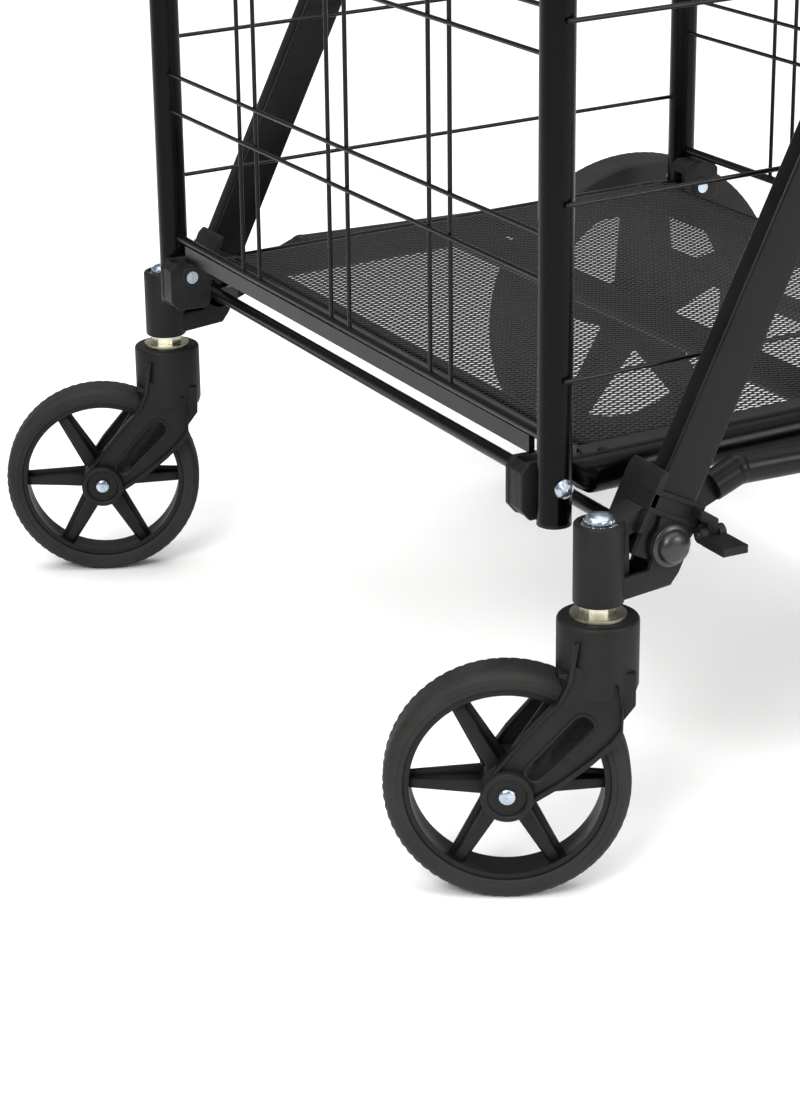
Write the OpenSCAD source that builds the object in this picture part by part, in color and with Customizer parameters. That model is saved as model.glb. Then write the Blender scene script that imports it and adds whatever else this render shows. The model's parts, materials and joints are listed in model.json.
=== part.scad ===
// Folding wire shelf cart: wire basket over a mesh deck, two swivel casters in front and two large wheels behind.
// X is across the cart, -Y is the caster end, +Y is the handle end, Z is up. Millimetres.
// The cart stands on the floor at z = 0, with the origin below the middle of its length and width.

/* [Overall] */
// Distance across the cart between the basket's corner posts, centre to centre
basket_w = 560; // [460:5:680]
// Distance from the front posts to the back posts, centre to centre
basket_d = 450; // [370:5:540]
// Length of the basket's corner posts
post_len = 534; // [440:2:640]
// Height of the handle tube above the floor
handle_z = 1010; // [930:5:1180]

/* [Front casters] */
// Diameter of a caster tyre
caster_d = 150; // [125:1:180]
// Width of a caster tyre
caster_w = 28; // [22:1:34]
// How far a caster wheel trails from its swivel axis
caster_trail = 53.5; // [46:0.5:62]
// Diameter of the round head of the fork
fork_d = 49.4; // [46:0.2:58]
// Heading of the right caster, turned about its swivel axis
right_heading = -29; // [-40:1:40]
// Heading of the left caster
left_heading = -24; // [-40:1:40]
// Diameter of the stem bolt that carries a caster
stem_d = 12; // [10:0.5:14]

/* [Rear wheels] */
// Diameter of a rear tyre
rear_d = 270; // [230:5:320]
// Width of a rear tyre
rear_w = 34; // [28:1:40]
// Distance from the swivel axes back to the rear axle
wheelbase = 445; // [400:5:520]
// Diameter of the rear axle
axle_d = 12; // [10:0.5:14]

/* [Frame] */
// Wide side of the rectangular leg tube
leg_deep = 30; // [26:1:34]
// Narrow side of the rectangular leg tube
leg_thick = 15; // [13:0.5:17]
// Wall of the leg tube
leg_wall = 1.5; // [1:0.1:2.5]
// Lean of the legs from upright, top towards the handle end
leg_lean = 26; // [20:0.5:32]
// Diameter of the corner posts
post_d = 21; // [19:0.5:23]
// Wall of the corner posts
post_wall = 1.5; // [1:0.1:2.5]
// Diameter of the rear stay tubes
stay_d = 19; // [16:0.5:19]
// Diameter of the handle tube
handle_d = 22; // [18:0.5:26]
// Outer diameter of the handle grip
grip_d = 32; // [28:1:38]

/* [Deck and wires] */
// Diameter of the deck's rim tubes
rail_d = 24; // [20:0.5:26]
// Rise of the deck from front to back, in degrees
deck_rise = 1.7; // [0:0.1:3]
// Thickness of the deck's mesh sheet
mesh_t = 1.5; // [1.2:0.1:3]
// Diameter of the panel and side wires
wire_d = 3; // [2.5:0.1:4]
// Diameter of the rod along the bottom of each wire panel
rod_d = 6; // [5:0.1:7]
// Diameter of the round cross rod between the caster brackets
cross_d = 9; // [7:0.5:11]
// Distance between two wires of a pair
pair_gap = 27; // [20:1:34]

/* [Hidden] */
$fn = 48;

// running clearance, on the radius, of a turning fit
fit = 0.06;
// clearance between faces of pieces that move past each other
gap = 0.5;

// heights, all built up from the caster
caster_r = caster_d / 2;
fork_top = caster_r + 105.4;
bearing_h = 2.2;
nut_h = 6;
sleeve_bottom = fork_top + bearing_h + nut_h + 0.4;
sleeve_h = 50;
sleeve_top = sleeve_bottom + sleeve_h;
sleeve_r = 15.3;
pivot_z = sleeve_bottom + 62.3;
post_y = -7.4;
post_bottom = pivot_z - 23;
post_top = post_bottom + post_len;
post_r = post_d / 2;
post_x = basket_w / 2;

// legs and their bolts
leg_x = post_x + 39;
bolt_y = 42;
bolt_z = sleeve_bottom + 31;
foot_y = 35;
leg_foot_z = bolt_z - 8.7;
pocket_h = 95;
function leg_y(z) = foot_y + (z - bolt_z) * tan(leg_lean);
leg_front = leg_deep / 2 / cos(leg_lean);
leg_in = leg_x - leg_thick / 2;
leg_out = leg_x + leg_thick / 2;

// deck
rail_x = post_x - 16;
rail_r = rail_d / 2;
rail_drop = 5;
rail_start = 31;
rail_end = 36;
tongue_h = 11;
tongue_t = 10;
tongue_x = post_x - post_r - 10;
back_y = post_y + basket_d * cos(deck_rise);
back_z = pivot_z + basket_d * sin(deck_rise);

// side wires
wire_r = wire_d / 2;
hook_gap = 0.3;
hook_r = wire_r + hook_gap;
hook_in = 4;
wire_z1 = pivot_z + 66;
wire_levels = 4;
wire_pitch = (post_len - 118) / wire_levels;

// wire panels
panel_pitch = basket_w / 4;
panel_rod_z = pivot_z + 25.7;
panel_top_z = post_top - 16;
pair_z0 = pivot_z + 135;
pair_rows = 3;
pair_pitch = (panel_top_z - pair_z0 - 20) / (pair_rows - 0.4);

// rear frame
stay_x = (post_x + post_r + leg_in) / 2 - 0.4;
stay_r = stay_d / 2;
strip_t = 4;
rear_r = rear_d / 2;
stay_bend = [108, 247];
stay_knee = [wheelbase - 12, 245];
bolt_p = [bolt_y, bolt_z];
axle_p = [wheelbase, rear_d / 2];
rear_x = leg_out + 8 + rear_w / 2;
rear_hub_w = rear_w + 6;
cross_r = 8;

// upper arm
arm_r = 7;
arm_x = leg_in - arm_r - 0.4;
arm_z = post_top - 50;

// place of the origin
shoulder = 4.5;
function tyre_front(h) = caster_trail * cos(h)
    + (caster_r - 0.3 * shoulder) * cos(h) + (caster_w / 2 - 0.3 * shoulder) * abs(sin(h));
front_y = -max(tyre_front(left_heading), tyre_front(right_heading));
mid_y = (wheelbase + rear_r + front_y) / 2;

module place() translate([0, -mid_y, 0]) children();
module mirrored(side) if (side > 0) children(); else mirror([1, 0, 0]) children();
// a rod along X
module rod_x(x0, x1, y, z, r) translate([x0, y, z]) rotate([0, 90, 0]) cylinder(r = r, h = x1 - x0);
// a rod between two points of the YZ plane at one x
module rod_yz(x, a, b, r) {
    d = b - a;
    translate([x, a[0], a[1]]) rotate([atan2(d[1], d[0]), 0, 0]) rotate([-90, 0, 0])
        cylinder(r = r, h = norm(d));
}
// a plate cut to a YZ outline
module plate_yz(x0, x1, points) translate([x0, 0, 0]) rotate([90, 0, 90]) linear_extrude(x1 - x0)
    polygon(points);
// the deck's own frame: y runs back from the pivot bolts, z is up from the deck's plane
module on_deck() translate([0, post_y, pivot_z]) rotate([deck_rise, 0, 0]) children();

// ---- legs and handle ----
module leg_shape(side) {
    z0 = leg_foot_z;
    z1 = handle_z + 20;
    len = (z1 - z0) / cos(leg_lean);
    mirrored(side) difference() {
        translate([leg_x, leg_y(z0), z0]) rotate([-leg_lean, 0, 0]) difference() {
            translate([-leg_thick / 2, -leg_deep / 2, 0]) cube([leg_thick, leg_deep, len]);
            translate([-leg_thick / 2 + leg_wall, -leg_deep / 2 + leg_wall, -1])
                cube([leg_thick - 2 * leg_wall, leg_deep - 2 * leg_wall, len + 2]);
        }
        rod_x(leg_in - 5, leg_out + 5, bolt_y, bolt_z, 4);
        rod_x(leg_in - 5, leg_out + 5, leg_y(arm_z), arm_z, 4);
        rod_x(leg_in - 5, leg_out + 5, leg_y(handle_z), handle_z, handle_d / 2);
    }
}
module left_leg() color("#141414") place() leg_shape(-1);
module right_leg() color("#141414") place() leg_shape(1);
module handle_tube() color("#141414") place() difference() {
    rod_x(-leg_out - 3, leg_out + 3, leg_y(handle_z), handle_z, handle_d / 2);
    rod_x(-leg_out - 5, leg_out + 5, leg_y(handle_z), handle_z, handle_d / 2 - 1.5);
}
module handle_grip() color("#262626") place() difference() {
    rod_x(-leg_in + 20, leg_in - 20, leg_y(handle_z), handle_z, grip_d / 2);
    rod_x(-leg_in + 18, leg_in - 18, leg_y(handle_z), handle_z, handle_d / 2);
}

// ---- caster brackets ----
collar_wall = 3.5;
collar_z = bolt_z + 22;
cross_y = 24;
cross_z = bolt_z + 8;
cross_end = leg_in - gap;
pedal_x = leg_out + collar_wall + 5.6;
pedal_y = bolt_y + 24;
pedal_z = bolt_z + 5;
function plate_y(z) = leg_y(z) - leg_front - 4;
// the leg's outline grown by a margin, h long along the leg, its middle at height z
module leg_block(z, h, grow) translate([leg_x, leg_y(z), z]) rotate([-leg_lean, 0, 0])
    translate([-leg_thick / 2 - grow, -leg_deep / 2 - grow, -h / 2])
        cube([leg_thick + 2 * grow, leg_deep + 2 * grow, h]);
module bracket(side) {
    s = sleeve_top;
    b = sleeve_bottom;
    inner = leg_in - collar_wall;
    outer = leg_out + collar_wall;
    mirrored(side) difference() {
        union() {
            translate([leg_x, 0, b]) cylinder(r = sleeve_r, h = sleeve_h);
            // lower arm from the sleeve to the bolt boss
            plate_yz(inner, outer, [[8, b + 2], [bolt_y, b + 6], [bolt_y + 6, b + 13],
                [bolt_y + 12, bolt_z - 6], [bolt_y - 10, bolt_z - 2], [bolt_y - 14, b + 19], [8, b + 16]]);
            rod_x(inner, outer, bolt_y, bolt_z, 13.5);
            // web from the sleeve up to the front plate, and the plate over the leg's front face
            plate_yz(leg_x - 12, leg_x + 6, [[6, s - 13], [6, s - 1], [plate_y(s + 6) + 2, s + 6],
                [plate_y(s - 8) + 3, s - 8]]);
            plate_yz(leg_x - 25, outer, [[plate_y(s - 8), s - 8], [plate_y(s - 8) + 5, s - 8],
                [plate_y(s + 26) + 5, s + 26], [plate_y(s + 26), s + 26]]);
            rod_x(leg_x - 22, leg_x, cross_y, cross_z, 7.5);
            // cheek between the boss and the collar, with the pedal's ear at its back
            plate_yz(inner, outer, [[bolt_y - 9, bolt_z + 8], [bolt_y + 10, bolt_z - 4],
                [bolt_y + 23, bolt_z + 12], [bolt_y + 22, bolt_z + 20], [bolt_y - 4, bolt_z + 28]]);
            plate_yz(outer - 6, pedal_x + 3.6, [[pedal_y - 3.6, pedal_z - 4.5], [pedal_y + 3.6, pedal_z -
                4.5],
                [pedal_y + 3.6, pedal_z + 10], [pedal_y - 9, pedal_z + 17], [pedal_y - 9, pedal_z + 10],
                [pedal_y - 3.6, pedal_z + 7.5]]);
            leg_block(collar_z, 14, collar_wall + 0.8);
        }
        leg_block(leg_foot_z + pocket_h / 2 * cos(leg_lean), pocket_h, 0);
        translate([leg_x, 0, b - 1]) cylinder(r = stem_d / 2, h = sleeve_h + 2);
        translate([leg_x, 0, s - 3]) cylinder(r = 11.5, h = 10);
        rod_x(leg_in - 20, leg_out + 20, bolt_y, bolt_z, 4);
        rod_x(leg_in - 30, cross_end, cross_y, cross_z, cross_d / 2);
        translate([pedal_x, pedal_y - 20, pedal_z]) rotate([-90, 0, 0]) cylinder(r = pin_r, h = 40);
    }
}
pin_r = 2;
module left_bracket() color("#1c1c1c") place() bracket(-1);
module right_bracket() color("#1c1c1c") place() bracket(1);
module lower_cross_rod() color("#101010") place()
    rod_x(-cross_end, cross_end, cross_y, cross_z, cross_d / 2);
// a round-headed bolt along X from x0 to its head's seat at x1, with a nut or collar of length tail at x0
module bolt_x(x0, x1, y, z, r, head_r, tail, tail_r) translate([x0 - tail, y, z]) rotate([0, 90, 0])
    rotate_extrude() polygon([[0, 0], [tail_r, 0], [tail_r, tail], [r, tail], [r, x1 - x0 + tail], [head_r,
        x1 - x0 + tail],
        [head_r, x1 - x0 + tail + 0.2 * head_r], [head_r * 0.9, x1 - x0 + tail + 0.4 * head_r],
        [head_r * 0.6, x1 - x0 + tail + 0.65 * head_r], [0, x1 - x0 + tail + 0.75 * head_r]]);
module dome_bolts() color("#2a2a2a") place() for (side = [-1, 1]) mirrored(side) {
    x = leg_out + collar_wall;
    bolt_x(stay_x - strip_t / 2 - gap, x, bolt_y, bolt_z, 4, 13, 5, 8);
}
stem_in = 34;
module stem_bolts() color("#d8dde2") place() for (side = [-1, 1]) mirrored(side) translate([leg_x, 0, 0]) {
    translate([0, 0, fork_top - stem_in]) cylinder(r = stem_d / 2, h = sleeve_top - 3 - fork_top + stem_in);
    translate([0, 0, sleeve_top - 3]) cylinder(r = 11, h = 1.6);
    translate([0, 0, sleeve_top - 1.4]) cylinder(r = 9.6, h = 4);
    translate([0, 0, sleeve_top + 2.6]) cylinder(r1 = 9, r2 = 5, h = 3);
}
module stem_nuts() color("#c9bd8e") place() for (side = [-1, 1]) mirrored(side) translate([leg_x, 0, 0]) {
    difference() {
        union() {
            translate([0, 0, fork_top + 0.4]) cylinder(r = 17, h = bearing_h - 0.4);
            translate([0, 0, fork_top + bearing_h]) cylinder(r = 11, h = nut_h, $fn = 6);
        }
        translate([0, 0, fork_top]) cylinder(r = stem_d / 2, h = 20);
    }
}

// ---- front panel ----
module post(x) difference() {
    translate([x, 0, post_bottom - pivot_z]) cylinder(r = post_r, h = post_len);
    translate([x, 0, post_bottom - pivot_z - 1]) cylinder(r = post_r - post_wall, h = post_len + 2);
    rod_x(x - 20, x + 20, 0, 0, 3.6);
}
module front_post(side) mirrored(side) difference() {
    translate([0, post_y, pivot_z]) post(post_x);
    for (i = [0 : wire_levels - 1]) rod_x(post_x, post_x + 20, post_y, wire_z1 + i * wire_pitch, hook_r);
    for (z = [panel_rod_z, panel_top_z]) rod_x(post_x - 20, post_x - 3, post_y, z, rod_d / 2);
    rod_x(post_x, post_x + 20, post_y, panel_top_z, rod_d / 2 + hook_gap);
    rod_x(post_x - 20, post_x + 20, post_y, arm_z, 4);
}
module left_front_post() color("#121212") place() front_post(-1);
module right_front_post() color("#121212") place() front_post(1);
plug_t = 2;
module plugs(y, z0) for (x = [-post_x, post_x], e = [0, 1]) translate([x, y, z0 + (e == 0 ? 0 : post_len)])
    mirror([0, 0, e]) {
        translate([0, 0, -plug_t]) cylinder(r = post_r, h = plug_t);
        cylinder(r = post_r - post_wall, h = 10);
    }
module front_post_plugs() color("#1a1a1a") place() plugs(post_y, post_bottom);
module panel_rod(y, z) rod_x(-post_x + post_r - post_wall - 3, post_x - post_r + post_wall + 3, y, z, rod_d
    / 2);
module front_bottom_rod() color("#151515") place() panel_rod(post_y, panel_rod_z);
module front_top_rail() color("#151515") place() panel_rod(post_y, panel_top_z);
bar_t = 4;
bar_h = 11;
// the bar stops beside the slot that the deck's tongue folds up through
bar_end = tongue_x - tongue_t / 2 - 2 * gap;
module front_flat_bar() color("#181818") place()
    translate([-bar_end, post_y - bar_t / 2, panel_rod_z - rod_d / 2 - bar_h]) cube([2 * bar_end, bar_t, bar_h]);
// welded grid of paired wires: upright pairs behind, cross pairs in front, ending on the rods and the posts
weld = 1.2;
module grid(y, lift) translate([0, y, lift]) difference() {
    union() {
        for (i = [-1 : 1], k = [-1, 1]) translate([i * panel_pitch + k * pair_gap / 2, 0, panel_rod_z])
            cylinder(r = wire_r, h = panel_top_z - panel_rod_z, $fn = 20);
        for (i = [0 : pair_rows - 1], k = [-1, 1])
            rod_x(-post_x + post_r - weld, post_x - post_r + weld, -wire_d + 0.6,
                pair_z0 + i * pair_pitch + k * pair_gap / 2, wire_r, $fn = 20);
    }
    for (z = [panel_rod_z, panel_top_z]) rod_x(-post_x, post_x, 0, z, rod_d / 2);
    for (x = [-post_x, post_x]) translate([x, 0, 0]) cylinder(r = post_r, h = 2 * post_top);
}
module front_wires() color("#151515") place() grid(post_y, 0);
conn_x0 = post_x - post_r - 20;
conn_x1 = post_x - post_r;
conn_half = 16;
conn_short = 11.4;
tongue_room = tongue_h / 2 + 5.5;
tongue_reach = 60;
// moulded block on the inner side of a post, with a long jaw on one side of the deck rail's tongue
module connector(side, long_jaw) mirrored(side) difference() {
    plate_yz(conn_x0, conn_x1, [[conn_half, conn_short - 4], [conn_half - 3, conn_short], [-conn_half + 5,
        conn_short],
        [-conn_half, conn_short - 6], [-conn_half, -long_jaw + 7], [-conn_half + 6, -long_jaw],
        [conn_half - 5, -long_jaw], [conn_half, -long_jaw + 5]]);
    // slot for the tongue, open towards the deck and to the side it folds to
    translate([tongue_x - tongue_t / 2 - gap, -tongue_room + 2, -tongue_room])
        cube([tongue_t + 2 * gap, tongue_reach, tongue_reach]);
    rod_x(conn_x0 - 1, conn_x1 + 1, 0, 0, 3.5);
}
module front_connectors() color("#1e1e1e") place() for (side = [-1, 1])
    translate([0, post_y, pivot_z]) connector(side, 25);
module back_connectors() color("#1e1e1e") place() for (side = [-1, 1])
    translate([0, back_y, back_z]) rotate([180, 0, 0]) connector(side, 21);
module deck_bolts() color("#dfe3e6") place() for (side = [-1, 1]) mirrored(side)
    bolt_x(conn_x0, post_x + post_r, post_y, pivot_z, 3.5, 6, 3, 4.6);

// ---- upper arms ----
module upper_arms() color("#141414") place() for (side = [-1, 1]) mirrored(side) difference() {
    rod_yz(arm_x, [post_y - 12, arm_z], [leg_y(arm_z) + 12, arm_z], arm_r);
    rod_x(arm_x - 20, arm_x + 20, post_y, arm_z, 4);
    rod_x(arm_x - 20, arm_x + 20, leg_y(arm_z), arm_z, 4);
}
module arm_bolts() color("#dfe3e6") place() for (side = [-1, 1]) mirrored(side) {
    bolt_x(post_x - post_r, arm_x + arm_r, post_y, arm_z, 4, 5, 3, 6);
    bolt_x(arm_x - arm_r, leg_out, leg_y(arm_z), arm_z, 4, 7, 1, 6);
}

// ---- deck ----
module deck_rail(side) mirrored(side) on_deck() difference() {
    union() {
        translate([rail_x, rail_start, -rail_drop]) rotate([-90, 0, 0])
            cylinder(r = rail_r, h = basket_d - rail_start - rail_end);
        for (end = [0, 1]) translate([tongue_x - tongue_t / 2, end * basket_d, 0]) {
            translate([0, end * -(rail_end + 4), -tongue_h / 2]) cube([tongue_t, end == 0 ? rail_start + 4
                : rail_end + 4, tongue_h]);
            rotate([0, 90, 0]) cylinder(r = tongue_h / 2 + 1, h = tongue_t);
        }
    }
    for (y = [0, basket_d]) translate([rail_x - 20, y, 0]) rotate([0, 90, 0]) cylinder(r = 3.5 + fit, h = 40);
}
module left_deck_rail() color("#101010") place() deck_rail(-1);
module right_deck_rail() color("#101010") place() deck_rail(1);
// front, middle and rear tubes of the deck's frame, with their tops level under the mesh
deck_tubes = [[46, 8], [basket_d / 2 + 4, rail_r - 1], [basket_d - 52, 8]];
module deck_cross_tubes() color("#121212") place() on_deck() difference() {
    for (t = deck_tubes) translate([-rail_x, t[0], rail_r - rail_drop - t[1]]) rotate([0, 90, 0])
        cylinder(r = t[1], h = 2 * rail_x);
    for (s = [-1, 1]) translate([s * rail_x, 0, -rail_drop]) rotate([-90, 0, 0])
        cylinder(r = rail_r, h = basket_d);
}
// mesh sheet, lying on the tops of the frame's tubes
module deck_mesh() color("#1b1b1b") place() on_deck()
    translate([-rail_x, 33, rail_r - rail_drop + 0.05]) cube([2 * rail_x, basket_d - 71, mesh_t]);

// ---- back panel ----
module back_post(side) mirrored(side) difference() {
    translate([0, back_y, back_z]) post(post_x);
    for (i = [0 : wire_levels - 1])
        rod_x(post_x, post_x + 20, back_y, wire_z1 + back_z - pivot_z + i * wire_pitch, hook_r);
    for (z = [panel_rod_z, panel_top_z])
        rod_x(post_x - 20, post_x - 3, back_y, z + back_z - pivot_z, rod_d / 2);
    rod_x(post_x, post_x + 20, back_y, panel_top_z + back_z - pivot_z, rod_d / 2 + hook_gap);
}
module left_back_post() color("#121212") place() back_post(-1);
module right_back_post() color("#121212") place() back_post(1);
module back_post_plugs() color("#1a1a1a") place() plugs(back_y, post_bottom + back_z - pivot_z);
module back_bottom_rod() color("#151515") place() panel_rod(back_y, panel_rod_z + back_z - pivot_z);
module back_top_rail() color("#151515") place() panel_rod(back_y, panel_top_z + back_z - pivot_z);
module back_wires() color("#151515") place() grid(back_y, back_z - pivot_z);
module back_bolts() color("#dfe3e6") place() for (side = [-1, 1]) mirrored(side)
    bolt_x(conn_x0, post_x + post_r, back_y, back_z, 3.5, 6, 3, 4.6);

// ---- side wires, hooked into the posts ----
module side_rod(z, r) for (side = [-1, 1]) mirrored(side)
    translate([post_x + post_r + r + gap, post_y, z]) rotate([deck_rise, 0, 0]) {
        rotate([-90, 0, 0]) cylinder(r = r, h = basket_d);
        for (y = [0, basket_d]) translate([0, y, 0]) {
            sphere(r = r);
            translate([-r - gap - hook_in, 0, 0]) rotate([0, 90, 0]) cylinder(r = r, h = hook_in + r + gap);
        }
    }
module side_wires(i) side_rod(wire_z1 + i * wire_pitch, wire_r);
module side_top_rails() color("#151515") place() side_rod(panel_top_z, rod_d / 2);
module side_wires_1() color("#2b2b2b") place() side_wires(0);
module side_wires_2() color("#2b2b2b") place() side_wires(1);
module side_wires_3() color("#2b2b2b") place() side_wires(2);
module side_wires_4() color("#2b2b2b") place() side_wires(3);

// ---- rear frame ----
axle_z = rear_r;
strip_r = 9;
module rear_stay(side) mirrored(side) difference() {
    d = stay_bend - bolt_p;
    a = atan2(d[1], d[0]);
    n = [-sin(a), cos(a)] * strip_r;
    union() {
        // flattened front end on the dome bolt
        plate_yz(stay_x - strip_t / 2, stay_x + strip_t / 2, concat([for (t = [a + 90 : 15 : a + 270])
            bolt_p + strip_r * [cos(t), sin(t)]], [stay_bend - d * 0.1 - n, stay_bend - d * 0.1 + n]));
        rod_yz(stay_x, stay_bend - d * 0.28, stay_bend, stay_r);
        rod_yz(stay_x, stay_bend, stay_knee, stay_r);
        rod_yz(stay_x, stay_knee, axle_p, stay_r);
        translate([stay_x, stay_bend[0], stay_bend[1]]) sphere(r = stay_r + 0.4);
        translate([stay_x, stay_knee[0], stay_knee[1]]) sphere(r = stay_r + 0.6);
        rod_x(stay_x - stay_r - 0.5, stay_x + stay_r + 0.5, wheelbase, axle_z, axle_d / 2 + 5.5);
    }
    rod_x(stay_x - 20, stay_x + 20, bolt_y, bolt_z, 4 + fit);
    rod_x(stay_x - 20, stay_x + 20, wheelbase, axle_z, axle_d / 2);
}
module left_rear_stay() color("#1f1f1f") place() rear_stay(-1);
module right_rear_stay() color("#1f1f1f") place() rear_stay(1);
// tube across the rear frame, half way down its legs
rest_z = axle_z + 62;
rest_y = wheelbase - 12 * 62 / (245 - axle_z);
module rear_cross_tube() color("#1f1f1f") place() difference() {
    rod_x(-stay_x, stay_x, rest_y, rest_z, cross_r);
    for (s = [-1, 1]) rod_yz(s * stay_x, stay_knee, axle_p, stay_r);
}
module rear_axle() color("#b8bcc0") place() rod_x(-rear_x - rear_hub_w / 2 - 8, rear_x + rear_hub_w / 2 +
    8, wheelbase, axle_z, axle_d / 2);
module axle_spacers() color("#262626") place() for (side = [-1, 1]) mirrored(side) difference() {
    rod_x(stay_x + stay_r + 0.5, rear_x - rear_hub_w / 2 - gap, wheelbase, axle_z, axle_d / 2 + 3);
    rod_x(stay_x, rear_x, wheelbase, axle_z, axle_d / 2);
}
module axle_caps() color("#202020") place() for (side = [-1, 1]) mirrored(side) difference() {
    rod_x(rear_x + rear_hub_w / 2 + gap, rear_x + rear_hub_w / 2 + 10, wheelbase, axle_z, axle_d / 2 + 6);
    rod_x(rear_x, rear_x + rear_hub_w / 2 + 8, wheelbase, axle_z, axle_d / 2);
}

// ---- wheels: a spoked rim and a tyre, both round the X axis ----
module rim(r_seat, r_in, w, hub_r, hub_w, bore, spokes, first) rotate([0, 90, 0]) difference() {
    union() {
        rotate_extrude() translate([r_in, -w / 2]) square([r_seat - r_in, w]);
        cylinder(r = hub_r, h = hub_w, center = true);
        for (i = [0 : spokes - 1]) rotate([0, 0, first + i * 360 / spokes]) rotate([90, 0, 90])
            linear_extrude(r_in + 1) square([w * 0.34, w * 0.6], center = true);
    }
    cylinder(r = bore, h = hub_w + 2, center = true);
}
module tyre(r_out, r_seat, w, round_r) rotate([0, 90, 0]) rotate_extrude($fn = 96) polygon([
    [r_seat, -w / 2 + 1], [r_out - round_r, -w / 2], [r_out - round_r * 0.3, -w / 2 + round_r * 0.3],
        [r_out, -w / 2 + round_r],
    [r_out, w / 2 - round_r], [r_out - round_r * 0.3, w / 2 - round_r * 0.3], [r_out - round_r, w / 2],
        [r_seat, w / 2 - 1]]);
rear_seat = rear_r * 0.82;
module rear_wheel_at(side) translate([side * rear_x, wheelbase, axle_z]) children();
module rear_rim(side) rear_wheel_at(side) rim(rear_seat, rear_r * 0.72, rear_w - 6, 22, rear_hub_w, axle_d
    / 2 + fit, 5, 0);
module rear_tyre(side) rear_wheel_at(side) tyre(rear_r, rear_seat, rear_w, 5);
module left_rear_rim() color("#1d1d1d") place() rear_rim(-1);
module left_rear_tyre() color("#242424") place() rear_tyre(-1);
module right_rear_rim() color("#1d1d1d") place() rear_rim(1);
module right_rear_tyre() color("#242424") place() rear_tyre(1);

// ---- casters ----
arm_in = caster_w / 2 + 4.5;
arm_out = caster_w / 2 + 11;
caster_axle_d = 8;
caster_hub_w = caster_w + 6;
module caster_at(side) translate([side * leg_x, 0, 0]) rotate([0, 0, side > 0 ? right_heading :
    left_heading]) children();
module caster_wheel_at(side) caster_at(side) translate([0, -caster_trail, caster_r]) children();
head_h = 46;
stem_hole = 34.5;
module fork(side) caster_at(side) difference() {
    hub = [-caster_trail, caster_r];
    head = [0, fork_top];
    union() {
        translate([0, 0, fork_top - head_h]) cylinder(r = fork_d / 2, h = head_h - 2);
        translate([0, 0, fork_top - 2]) cylinder(r1 = fork_d / 2, r2 = fork_d / 2 - 2, h = 2);
        for (s = [-1, 1]) mirrored(s) {
            plate_yz(arm_in, arm_out, [head + [-14.5, -10], head + [-17.7, -33], head + [-23.9, -46],
                head + [-37.7, -61], hub + [0, 25], hub + [-12, 8.4], hub + [0, -12], hub + [17.2, -4.6],
                hub + [33.5, 5.8], hub + [50.8, 19.9], head + [14.5, -67.6], head + [14.8, -53.7], head +
                    [12.3, -40]]);
            rod_x(arm_in, arm_out + 1.5, hub[0], hub[1], 16);
        }
    }
    translate([0, hub[0], hub[1]]) rotate([0, 90, 0]) cylinder(r = caster_r + 4, h = 2 * arm_in, center =
        true, $fn = 72);
    rod_x(-arm_out - 5, arm_out + 5, hub[0], hub[1], caster_axle_d / 2);
    translate([0, 0, fork_top - stem_hole]) cylinder(r = stem_d / 2 + fit, h = stem_hole + 5);
}
module left_fork() color("#232323") place() fork(-1);
module right_fork() color("#232323") place() fork(1);
module caster_axle(side) caster_wheel_at(side) {
    rod_x(-arm_out - 3, arm_out + 3, 0, 0, caster_axle_d / 2);
    for (s = [-1, 1]) mirrored(s) {
        rod_x(arm_out + 1.5, arm_out + 4, 0, 0, 5.4);
        rod_x(caster_hub_w / 2 + 0.4, arm_in, 0, 0, 6.4);
    }
}
module left_caster_axle() color("#d5dbe0") place() caster_axle(-1);
module right_caster_axle() color("#d5dbe0") place() caster_axle(1);
caster_seat = caster_r - 12.5;
module caster_rim(side) caster_wheel_at(side)
    rim(caster_seat, caster_seat - 4, caster_w - 5, 13.5, caster_hub_w, caster_axle_d / 2 + fit, 6, 30);
module caster_tyre(side) caster_wheel_at(side) tyre(caster_r, caster_seat, caster_w, shoulder);
module left_caster_rim() color("#1d1d1d") place() caster_rim(-1);
module left_caster_tyre() color("#242424") place() caster_tyre(-1);
module right_caster_rim() color("#1d1d1d") place() caster_rim(1);
module right_caster_tyre() color("#242424") place() caster_tyre(1);

// ---- foot pedals ----
module pedal(side) mirrored(side) difference() {
    union() {
        for (y = [-8.5, 4]) translate([pedal_x, pedal_y + y, pedal_z]) rotate([-90, 0, 0]) cylinder(r =
            4.8, h = 4.5);
        translate([pedal_x + 4.9, pedal_y - 8.5, pedal_z - 5]) cube([22, 17, 5]);
        for (y = [-8.5, 4]) translate([pedal_x, pedal_y + y, pedal_z - 4.8]) cube([6, 4.5, 4]);
    }
    translate([pedal_x, pedal_y - 20, pedal_z]) rotate([-90, 0, 0]) cylinder(r = pin_r + fit, h = 40);
}
module left_pedal() color("#202020") place() pedal(-1);
module right_pedal() color("#202020") place() pedal(1);
module pedal_pins() color("#b8bcc0") place() for (side = [-1, 1]) mirrored(side)
    translate([pedal_x, pedal_y - 9.5, pedal_z]) rotate([-90, 0, 0]) cylinder(r = pin_r, h = 19);

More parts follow.
